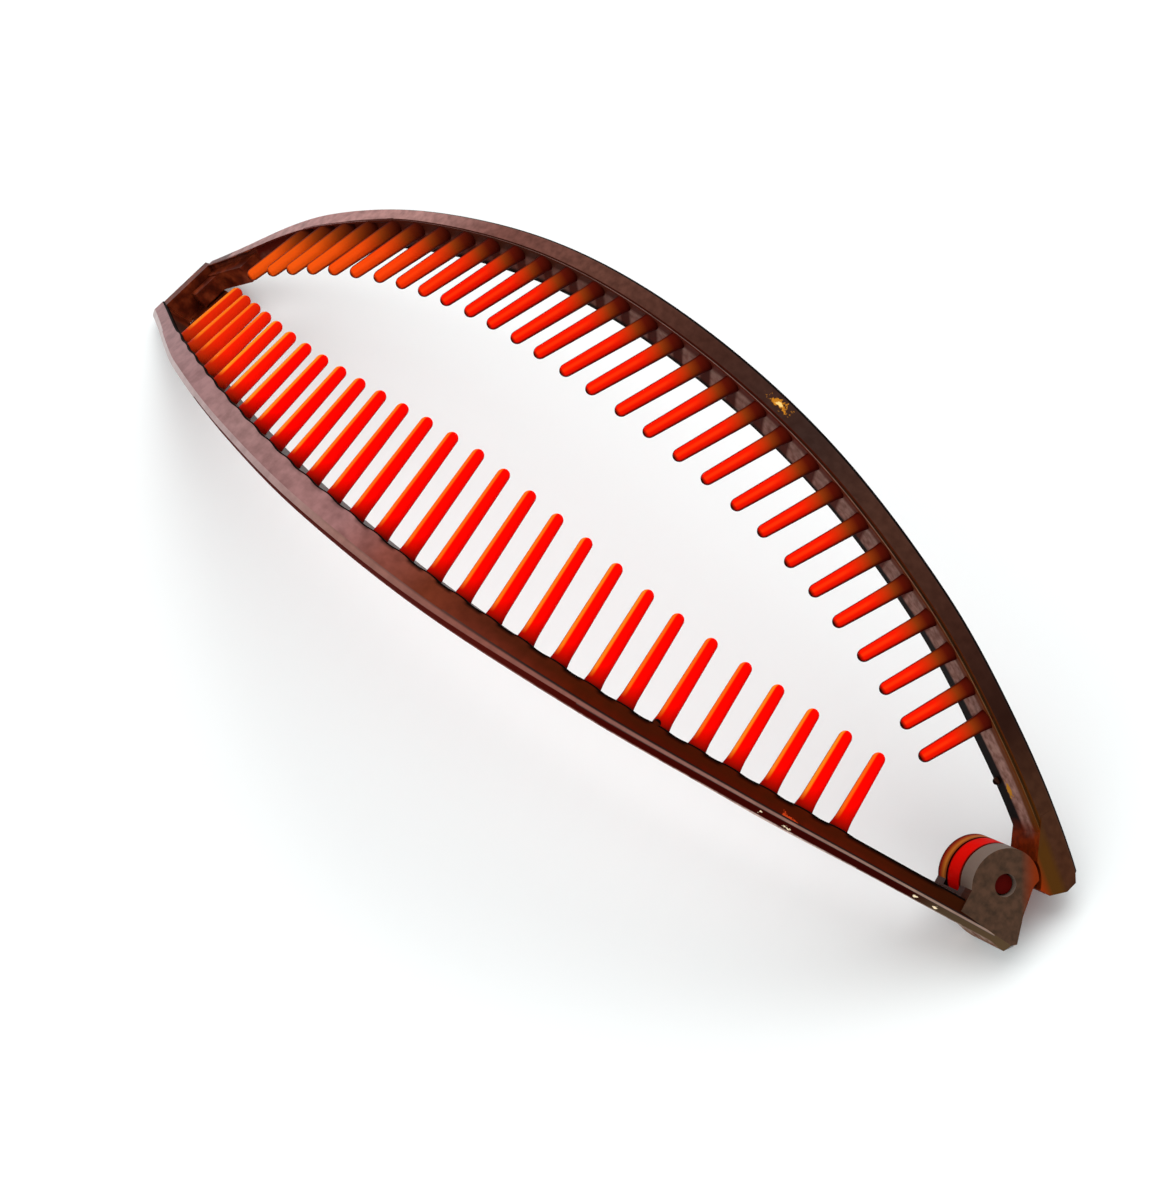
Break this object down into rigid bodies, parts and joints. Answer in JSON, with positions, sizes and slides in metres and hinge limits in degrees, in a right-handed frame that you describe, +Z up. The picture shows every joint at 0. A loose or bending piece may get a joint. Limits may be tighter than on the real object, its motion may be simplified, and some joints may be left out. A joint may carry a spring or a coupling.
{
  "type": "banana hair clip",
  "caption": "Arched hair clip of two curved combs that meet as a lens, pinned together at one end and caught by a tongue at the other.",
  "frame": {"origin": "on the floor, under the middle of the clip's bounding box", "axes": "+X along the clip from the clasp to the hinge, +Y from the lower comb to the upper comb, +Z up through the crown of the arch"},
  "size_m": [0.1392, 0.045, 0.0347],
  "materials": {
    "lower_brown_plastic": "glossy translucent brown plastic, red where it is thin",
    "upper_brown_plastic": "glossy translucent brown plastic, red where it is thin",
    "pin_red_plastic": "glossy dark red plastic"
  },
  "bodies": {
    "lower": {"lower_comb": "lower_brown_plastic", "hinge_pin": "pin_red_plastic"},
    "upper": {"upper_comb": "upper_brown_plastic"}
  },
  "joints": [
    {"name": "hinge", "type": "hinge", "parent": "lower", "child": "upper", "pos_m": [0.06425, 0.00102, 0.00736], "axis": [-0.7814, 0, -0.624], "range_deg": [0, 45]}
  ]
}
